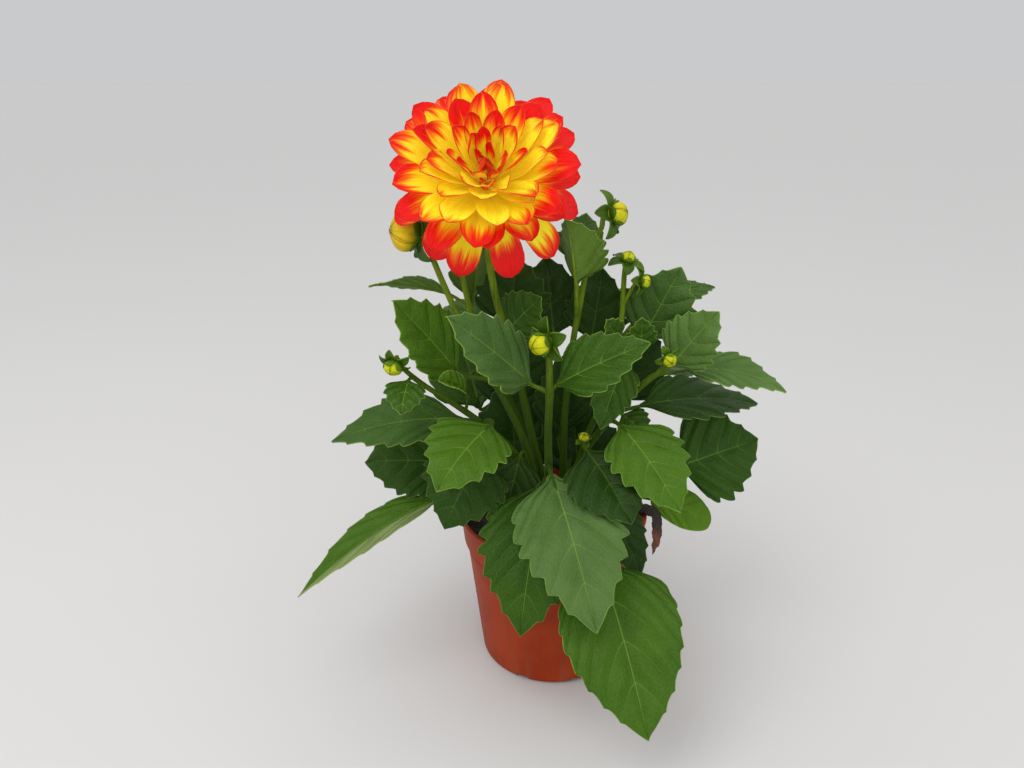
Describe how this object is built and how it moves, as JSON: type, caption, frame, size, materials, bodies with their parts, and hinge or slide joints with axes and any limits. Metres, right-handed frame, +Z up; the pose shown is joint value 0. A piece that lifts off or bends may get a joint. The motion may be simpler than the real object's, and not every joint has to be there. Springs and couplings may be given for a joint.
{
  "type": "potted dahlia plant",
  "caption": "Bushy potted dahlia with a large two-tone double bloom, closed buds and toothed leaves, standing in a round tapered plastic nursery pot.",
  "frame": {"origin": "centre of the pot's flat base, on the surface it stands on", "axes": "+Z up the plant's height, +Y away from the side that the bloom faces, +X to the right as seen from that side"},
  "size_m": [0.3134, 0.2759, 0.394],
  "materials": {
    "pot": "terracotta-coloured injection-moulded plastic, satin matte",
    "soil": "dark, damp, crumbly potting compost",
    "foliage": "green leaves and stems, satin, with pale veins and pale toothed margins",
    "petals": "yellow petals with orange-red outer parts, soft satin",
    "buds": "tight yellow petals, soft satin",
    "dead_leaf": "dry brown leaf, matt"
  },
  "bodies": {
    "root": {"pot": "pot", "soil": "soil", "bloom_petals": "petals", "dead_leaf": "dead_leaf", "stem_bloom": "foliage", "stem_left_bud": "foliage", "stem_hidden_bud": "foliage", "stem_front_bud": "foliage", "stem_low_left_bud": "foliage", "stem_right_bud": "foliage", "stem_right_pair": "foliage", "stem_low_right_bud": "foliage", "stem_back_left": "foliage", "stem_back_right": "foliage", "bud_left": "buds", "bud_hidden": "buds", "bud_front": "buds", "bud_low_left": "buds", "bud_right": "buds", "bud_right_pair_1": "buds", "bud_right_pair_2": "buds", "bud_low_right_1": "buds", "bud_low_right_2": "buds"}
  },
  "joints": []
}
